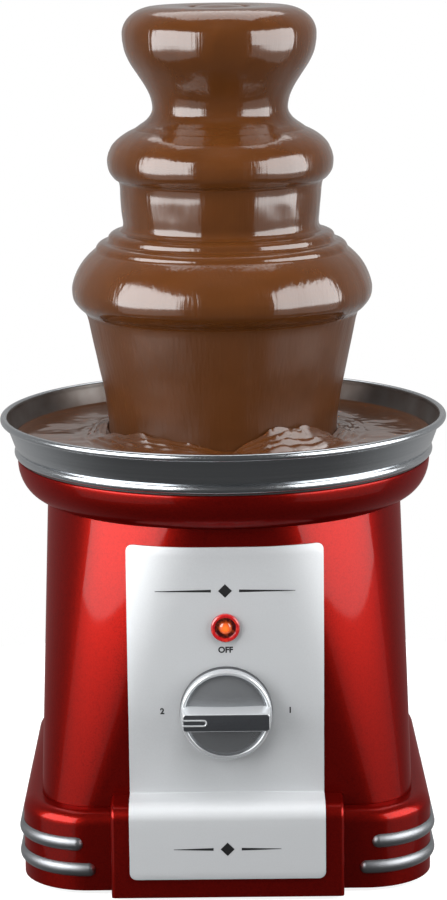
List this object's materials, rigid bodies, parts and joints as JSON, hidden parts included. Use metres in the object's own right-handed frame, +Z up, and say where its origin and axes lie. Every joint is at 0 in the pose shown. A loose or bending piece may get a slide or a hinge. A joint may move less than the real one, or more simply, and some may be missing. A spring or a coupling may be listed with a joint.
{
  "type": "chocolate fountain",
  "caption": "Chocolate fountain for the home: tiers under flowing chocolate over a steel bowl, on a red body with a rounded square base, silver panel, knob and pilot lamp.",
  "frame": {"origin": "on the floor under the tower's axis, which is the middle of the bowl's rim", "axes": "+Z up along the tower, the front panel faces -Y, +X to the viewer's right"},
  "size_m": [0.2, 0.2, 0.3768],
  "materials": {
    "red_paint": "glossy red metallic",
    "panel_silver": "satin",
    "chrome": "polished",
    "bowl_steel": "polished inside, satin outside",
    "tier_steel": "satin",
    "zinc_steel": "plain",
    "chocolate": "wet gloss",
    "black_plastic": "fine grain",
    "black_rubber": "matt",
    "ivory_plastic": "smooth",
    "knob_silver": "satin",
    "lens_red": "clear red",
    "bulb_glow": "lit",
    "brass": "turned",
    "aluminium": "plain",
    "lamination": "stamped sheets",
    "copper": "enamelled wire"
  },
  "bodies": {
    "base": {"base_skirt": "red_paint", "body_shell": "red_paint", "collar": "red_paint", "front_panel": "panel_silver", "bottom_cover": "black_plastic", "feet": "black_rubber", "cover_screws": "zinc_steel", "shell_screws": "zinc_steel", "strip_left_upper": "chrome", "strip_left_lower": "chrome", "strip_right_upper": "chrome", "strip_right_lower": "chrome", "cord_bush": "black_rubber", "bowl": "bowl_steel", "bowl_gasket": "black_rubber", "chocolate_pool": "chocolate", "shaft_bush": "brass", "bush_nut": "zinc_steel", "shaft_seal": "black_rubber", "heat_plate": "aluminium", "bowl_studs": "zinc_steel", "stud_nuts": "zinc_steel", "heater": "zinc_steel", "thermostat": "ivory_plastic", "thermal_fuse": "ivory_plastic", "chassis_plate": "zinc_steel", "chassis_screws": "zinc_steel", "gear_lid": "black_plastic", "gear_case": "black_plastic", "case_screws": "zinc_steel", "idler_pin": "zinc_steel", "motor_stack": "lamination", "motor_coil": "copper", "coil_bobbin": "ivory_plastic", "motor_bridge": "aluminium", "motor_spacers": "brass", "motor_bolts": "zinc_steel", "rotary_switch": "black_plastic", "switch_nut": "zinc_steel", "leads": "black_plastic", "pilot_lens": "lens_red", "pilot_bulb": "bulb_glow", "pilot_clip": "zinc_steel"},
    "knob": {"knob": "knob_silver", "switch_shaft": "zinc_steel"},
    "drive": {"drive_shaft": "zinc_steel", "drive_dog": "brass", "output_gear": "ivory_plastic"},
    "idler": {"idler_gear": "ivory_plastic"},
    "rotor": {"rotor": "lamination", "rotor_pinion": "brass"},
    "auger": {"auger": "ivory_plastic", "chocolate_well": "chocolate"},
    "tower": {"tower_stem": "ivory_plastic", "lower_tier": "tier_steel", "middle_tier": "tier_steel", "crown": "tier_steel", "chocolate_lower": "chocolate", "chocolate_middle": "chocolate", "chocolate_crown": "chocolate"}
  },
  "joints": [
    {"name": "knob_turn", "type": "hinge", "parent": "base", "child": "knob", "pos_m": [0, -0.09, 0.08], "axis": [0, 1, 0], "range_deg": [0, 180]},
    {"name": "auger_spin", "type": "hinge", "parent": "base", "child": "drive", "pos_m": [0, 0, 0.14], "axis": [0, 0, 1], "continuous": true},
    {"name": "idler_spin", "type": "hinge", "parent": "base", "child": "idler", "pos_m": [0, 0.03, 0.13], "axis": [0, 0, 1], "continuous": true},
    {"name": "rotor_spin", "type": "hinge", "parent": "base", "child": "rotor", "pos_m": [0, 0, 0.1], "axis": [0, 0, 1], "continuous": true},
    {"name": "auger_lift", "type": "slide", "parent": "drive", "child": "auger", "axis": [0, 0, 1], "range_m": [0, 0.215]},
    {"name": "tower_lift", "type": "slide", "parent": "base", "child": "tower", "axis": [0, 0, 1], "range_m": [0, 0.215]}
  ],
  "couplings": [
    {"joint": "idler_spin", "follows": "auger_spin", "ratio": -4},
    {"joint": "rotor_spin", "follows": "auger_spin", "ratio": 16}
  ]
}
